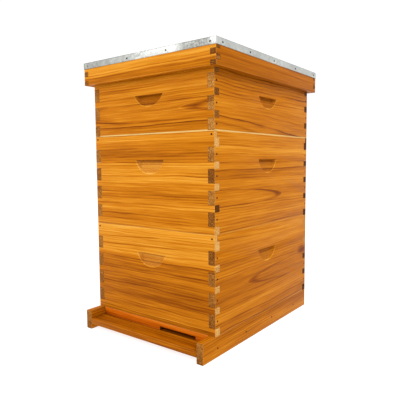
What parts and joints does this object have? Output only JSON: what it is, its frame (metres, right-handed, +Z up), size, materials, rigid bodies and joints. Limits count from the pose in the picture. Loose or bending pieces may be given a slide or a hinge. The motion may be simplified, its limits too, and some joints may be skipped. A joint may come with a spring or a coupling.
{
  "type": "beehive",
  "caption": "Stacked wooden beehive with hanging frames, finger-jointed boxes, a landing board and a metal-roofed cover that lifts off.",
  "frame": {"origin": "on the ground, under the middle of the hive's whole outline, landing and cover included", "axes": "+Z up; the entrance and the landing face -Y; +X is to the right of someone who faces the entrance"},
  "size_m": [0.453, 0.575, 0.7448],
  "materials": {
    "waxed_fir": "satin, wax dipped",
    "raw_pine": "planed, unfinished",
    "plywood": "sanded",
    "galvanised_sheet": "spangled zinc",
    "steel_nail": "dull",
    "beeswax": "embossed wax sheet"
  },
  "bodies": {
    "bottom_board": {"bottom_left_rail": "waxed_fir", "bottom_right_rail": "waxed_fir", "bottom_rear_rail": "waxed_fir", "bottom_floor": "waxed_fir"},
    "entrance_reducer": {"entrance_reducer": "waxed_fir"},
    "lower_deep": {"lower_deep_front": "waxed_fir", "lower_deep_rear": "waxed_fir", "lower_deep_left": "waxed_fir", "lower_deep_right": "waxed_fir"},
    "upper_deep": {"upper_deep_front": "waxed_fir", "upper_deep_rear": "waxed_fir", "upper_deep_left": "waxed_fir", "upper_deep_right": "waxed_fir"},
    "super": {"super_front": "waxed_fir", "super_rear": "waxed_fir", "super_left": "waxed_fir", "super_right": "waxed_fir"},
    "lower_frame_01": {"lower_frame_01": "raw_pine"},
    "lower_frame_02": {"lower_frame_02": "raw_pine"},
    "lower_frame_03": {"lower_frame_03": "raw_pine"},
    "lower_frame_04": {"lower_frame_04": "raw_pine"},
    "lower_frame_05": {"lower_frame_05": "raw_pine"},
    "lower_frame_06": {"lower_frame_06": "raw_pine"},
    "lower_frame_07": {"lower_frame_07": "raw_pine"},
    "lower_frame_08": {"lower_frame_08": "raw_pine"},
    "lower_frame_09": {"lower_frame_09": "raw_pine"},
    "lower_frame_10": {"lower_frame_10": "raw_pine"},
    "upper_frame_01": {"upper_frame_01": "raw_pine"},
    "upper_frame_02": {"upper_frame_02": "raw_pine"},
    "upper_frame_03": {"upper_frame_03": "raw_pine"},
    "upper_frame_04": {"upper_frame_04": "raw_pine"},
    "upper_frame_05": {"upper_frame_05": "raw_pine"},
    "upper_frame_06": {"upper_frame_06": "raw_pine"},
    "upper_frame_07": {"upper_frame_07": "raw_pine"},
    "upper_frame_08": {"upper_frame_08": "raw_pine"},
    "upper_frame_09": {"upper_frame_09": "raw_pine"},
    "upper_frame_10": {"upper_frame_10": "raw_pine"},
    "super_frame_01": {"super_frame_01": "raw_pine"},
    "super_frame_02": {"super_frame_02": "raw_pine"},
    "super_frame_03": {"super_frame_03": "raw_pine"},
    "super_frame_04": {"super_frame_04": "raw_pine"},
    "super_frame_05": {"super_frame_05": "raw_pine"},
    "super_frame_06": {"super_frame_06": "raw_pine"},
    "super_frame_07": {"super_frame_07": "raw_pine"},
    "super_frame_08": {"super_frame_08": "raw_pine"},
    "super_frame_09": {"super_frame_09": "raw_pine"},
    "super_frame_10": {"super_frame_10": "raw_pine"},
    "inner_cover": {"inner_cover_left_strip": "waxed_fir", "inner_cover_right_strip": "waxed_fir", "inner_cover_front_strip": "waxed_fir", "inner_cover_rear_strip": "waxed_fir", "inner_cover_panel": "plywood"},
    "outer_cover": {"cover_rim_front": "waxed_fir", "cover_rim_rear": "waxed_fir", "cover_rim_left": "waxed_fir", "cover_rim_right": "waxed_fir", "cover_deck": "plywood", "cover_roof_sheet": "galvanised_sheet"}
  },
  "joints": [
    {"name": "reducer_slide", "type": "slide", "parent": "bottom_board", "child": "entrance_reducer", "axis": [0, -1, 0], "range_m": [0, 0.07]},
    {"name": "lower_deep_lift", "type": "slide", "parent": "bottom_board", "child": "lower_deep", "axis": [0, 0, 1], "range_m": [0, 0.12]},
    {"name": "lower_frames_lift", "type": "slide", "parent": "lower_deep", "child": "lower_frame_05", "axis": [0, 0, 1], "range_m": [0, 0.25]},
    {"name": "lower_frame_01_lift", "type": "slide", "parent": "lower_deep", "child": "lower_frame_01", "axis": [0, 0, 1], "range_m": [0, 0.25]},
    {"name": "lower_frame_02_lift", "type": "slide", "parent": "lower_deep", "child": "lower_frame_02", "axis": [0, 0, 1], "range_m": [0, 0.25]},
    {"name": "lower_frame_03_lift", "type": "slide", "parent": "lower_deep", "child": "lower_frame_03", "axis": [0, 0, 1], "range_m": [0, 0.25]},
    {"name": "lower_frame_04_lift", "type": "slide", "parent": "lower_deep", "child": "lower_frame_04", "axis": [0, 0, 1], "range_m": [0, 0.25]},
    {"name": "lower_frame_06_lift", "type": "slide", "parent": "lower_deep", "child": "lower_frame_06", "axis": [0, 0, 1], "range_m": [0, 0.25]},
    {"name": "lower_frame_07_lift", "type": "slide", "parent": "lower_deep", "child": "lower_frame_07", "axis": [0, 0, 1], "range_m": [0, 0.25]},
    {"name": "lower_frame_08_lift", "type": "slide", "parent": "lower_deep", "child": "lower_frame_08", "axis": [0, 0, 1], "range_m": [0, 0.25]},
    {"name": "lower_frame_09_lift", "type": "slide", "parent": "lower_deep", "child": "lower_frame_09", "axis": [0, 0, 1], "range_m": [0, 0.25]},
    {"name": "lower_frame_10_lift", "type": "slide", "parent": "lower_deep", "child": "lower_frame_10", "axis": [0, 0, 1], "range_m": [0, 0.25]},
    {"name": "upper_deep_lift", "type": "slide", "parent": "lower_frame_05", "child": "upper_deep", "axis": [0, 0, 1], "range_m": [0, 0.12]},
    {"name": "upper_frames_lift", "type": "slide", "parent": "upper_deep", "child": "upper_frame_05", "axis": [0, 0, 1], "range_m": [0, 0.25]},
    {"name": "upper_frame_01_lift", "type": "slide", "parent": "upper_deep", "child": "upper_frame_01", "axis": [0, 0, 1], "range_m": [0, 0.25]},
    {"name": "upper_frame_02_lift", "type": "slide", "parent": "upper_deep", "child": "upper_frame_02", "axis": [0, 0, 1], "range_m": [0, 0.25]},
    {"name": "upper_frame_03_lift", "type": "slide", "parent": "upper_deep", "child": "upper_frame_03", "axis": [0, 0, 1], "range_m": [0, 0.25]},
    {"name": "upper_frame_04_lift", "type": "slide", "parent": "upper_deep", "child": "upper_frame_04", "axis": [0, 0, 1], "range_m": [0, 0.25]},
    {"name": "upper_frame_06_lift", "type": "slide", "parent": "upper_deep", "child": "upper_frame_06", "axis": [0, 0, 1], "range_m": [0, 0.25]},
    {"name": "upper_frame_07_lift", "type": "slide", "parent": "upper_deep", "child": "upper_frame_07", "axis": [0, 0, 1], "range_m": [0, 0.25]},
    {"name": "upper_frame_08_lift", "type": "slide", "parent": "upper_deep", "child": "upper_frame_08", "axis": [0, 0, 1], "range_m": [0, 0.25]},
    {"name": "upper_frame_09_lift", "type": "slide", "parent": "upper_deep", "child": "upper_frame_09", "axis": [0, 0, 1], "range_m": [0, 0.25]},
    {"name": "upper_frame_10_lift", "type": "slide", "parent": "upper_deep", "child": "upper_frame_10", "axis": [0, 0, 1], "range_m": [0, 0.25]},
    {"name": "super_lift", "type": "slide", "parent": "upper_frame_05", "child": "super", "axis": [0, 0, 1], "range_m": [0, 0.12]},
    {"name": "super_frames_lift", "type": "slide", "parent": "super", "child": "super_frame_05", "axis": [0, 0, 1], "range_m": [0, 0.18]},
    {"name": "super_frame_01_lift", "type": "slide", "parent": "super", "child": "super_frame_01", "axis": [0, 0, 1], "range_m": [0, 0.18]},
    {"name": "super_frame_02_lift", "type": "slide", "parent": "super", "child": "super_frame_02", "axis": [0, 0, 1], "range_m": [0, 0.18]},
    {"name": "super_frame_03_lift", "type": "slide", "parent": "super", "child": "super_frame_03", "axis": [0, 0, 1], "range_m": [0, 0.18]},
    {"name": "super_frame_04_lift", "type": "slide", "parent": "super", "child": "super_frame_04", "axis": [0, 0, 1], "range_m": [0, 0.18]},
    {"name": "super_frame_06_lift", "type": "slide", "parent": "super", "child": "super_frame_06", "axis": [0, 0, 1], "range_m": [0, 0.18]},
    {"name": "super_frame_07_lift", "type": "slide", "parent": "super", "child": "super_frame_07", "axis": [0, 0, 1], "range_m": [0, 0.18]},
    {"name": "super_frame_08_lift", "type": "slide", "parent": "super", "child": "super_frame_08", "axis": [0, 0, 1], "range_m": [0, 0.18]},
    {"name": "super_frame_09_lift", "type": "slide", "parent": "super", "child": "super_frame_09", "axis": [0, 0, 1], "range_m": [0, 0.18]},
    {"name": "super_frame_10_lift", "type": "slide", "parent": "super", "child": "super_frame_10", "axis": [0, 0, 1], "range_m": [0, 0.18]},
    {"name": "inner_cover_lift", "type": "slide", "parent": "super_frame_05", "child": "inner_cover", "axis": [0, 0, 1], "range_m": [0, 0.12]},
    {"name": "outer_cover_lift", "type": "slide", "parent": "inner_cover", "child": "outer_cover", "axis": [0, 0, 1], "range_m": [0, 0.12]}
  ],
  "couplings": [
    {"joint": "lower_frame_01_lift", "follows": "lower_frames_lift", "ratio": 1},
    {"joint": "lower_frame_02_lift", "follows": "lower_frames_lift", "ratio": 1},
    {"joint": "lower_frame_03_lift", "follows": "lower_frames_lift", "ratio": 1},
    {"joint": "lower_frame_04_lift", "follows": "lower_frames_lift", "ratio": 1},
    {"joint": "lower_frame_06_lift", "follows": "lower_frames_lift", "ratio": 1},
    {"joint": "lower_frame_07_lift", "follows": "lower_frames_lift", "ratio": 1},
    {"joint": "lower_frame_08_lift", "follows": "lower_frames_lift", "ratio": 1},
    {"joint": "lower_frame_09_lift", "follows": "lower_frames_lift", "ratio": 1},
    {"joint": "lower_frame_10_lift", "follows": "lower_frames_lift", "ratio": 1},
    {"joint": "upper_frame_01_lift", "follows": "upper_frames_lift", "ratio": 1},
    {"joint": "upper_frame_02_lift", "follows": "upper_frames_lift", "ratio": 1},
    {"joint": "upper_frame_03_lift", "follows": "upper_frames_lift", "ratio": 1},
    {"joint": "upper_frame_04_lift", "follows": "upper_frames_lift", "ratio": 1},
    {"joint": "upper_frame_06_lift", "follows": "upper_frames_lift", "ratio": 1},
    {"joint": "upper_frame_07_lift", "follows": "upper_frames_lift", "ratio": 1},
    {"joint": "upper_frame_08_lift", "follows": "upper_frames_lift", "ratio": 1},
    {"joint": "upper_frame_09_lift", "follows": "upper_frames_lift", "ratio": 1},
    {"joint": "upper_frame_10_lift", "follows": "upper_frames_lift", "ratio": 1},
    {"joint": "super_frame_01_lift", "follows": "super_frames_lift", "ratio": 1},
    {"joint": "super_frame_02_lift", "follows": "super_frames_lift", "ratio": 1},
    {"joint": "super_frame_03_lift", "follows": "super_frames_lift", "ratio": 1},
    {"joint": "super_frame_04_lift", "follows": "super_frames_lift", "ratio": 1},
    {"joint": "super_frame_06_lift", "follows": "super_frames_lift", "ratio": 1},
    {"joint": "super_frame_07_lift", "follows": "super_frames_lift", "ratio": 1},
    {"joint": "super_frame_08_lift", "follows": "super_frames_lift", "ratio": 1},
    {"joint": "super_frame_09_lift", "follows": "super_frames_lift", "ratio": 1},
    {"joint": "super_frame_10_lift", "follows": "super_frames_lift", "ratio": 1}
  ]
}
